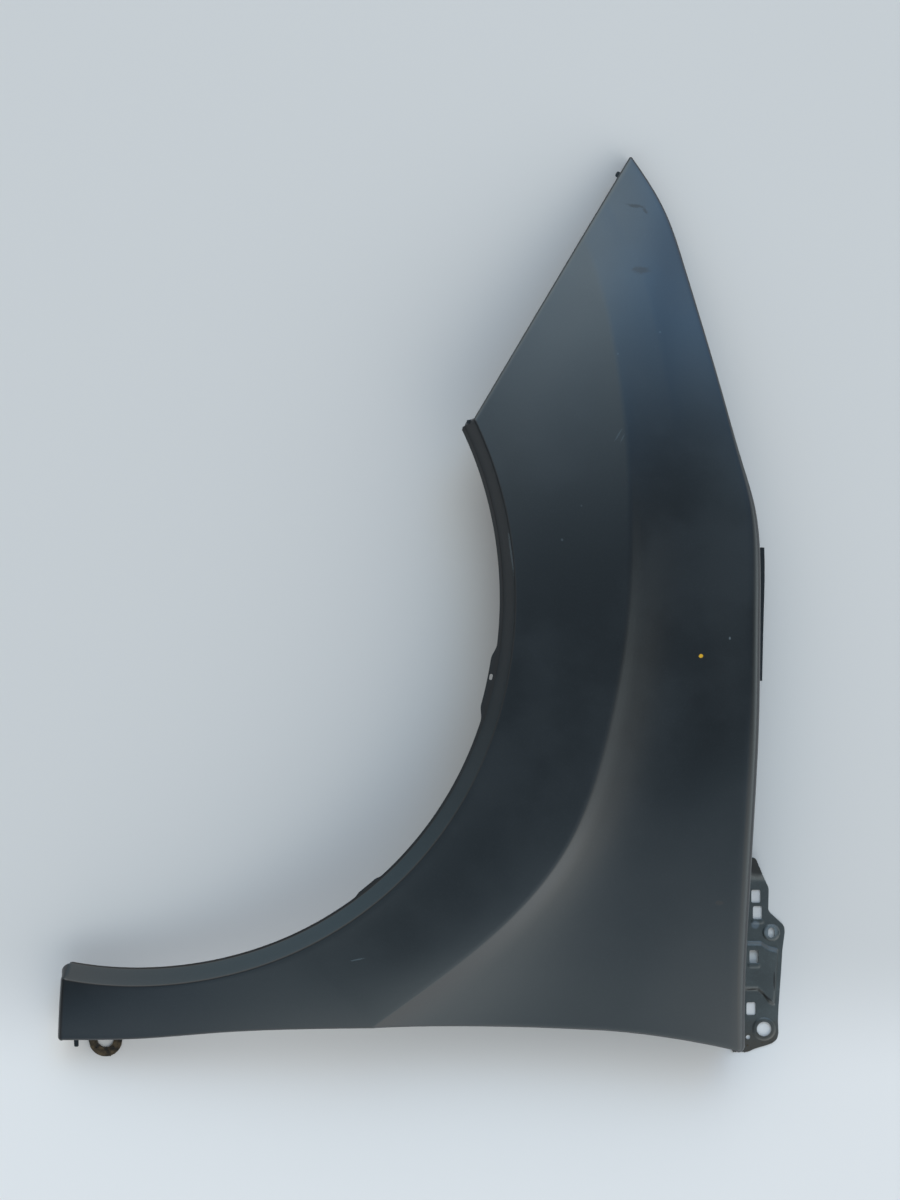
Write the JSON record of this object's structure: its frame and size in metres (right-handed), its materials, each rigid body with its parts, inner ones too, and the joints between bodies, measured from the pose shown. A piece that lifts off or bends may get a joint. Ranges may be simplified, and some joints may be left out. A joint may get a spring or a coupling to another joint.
{
  "type": "car fender",
  "caption": "Pressed steel front fender of a car in dark primer, with a wheel arch lip, a swept ridge, a pierced hinge pillar bracket and a lower mounting ear.",
  "frame": {"origin": "middle of the part's footprint, on the surface that it lies on with its painted side up", "axes": "+X towards the hood edge, away from the sill; +Y towards the headlamp, the front of the car; +Z out of the painted side"},
  "size_m": [0.7508, 0.9324, 0.1089],
  "materials": {
    "black_primer": "satin dark primer",
    "black_primer_bracket": "satin dark primer",
    "soiled_primer": "dull primer with brown soil"
  },
  "bodies": {
    "root": {"fender_panel": "black_primer", "hinge_pillar_bracket": "black_primer_bracket", "lower_ear": "soiled_primer"}
  },
  "joints": []
}
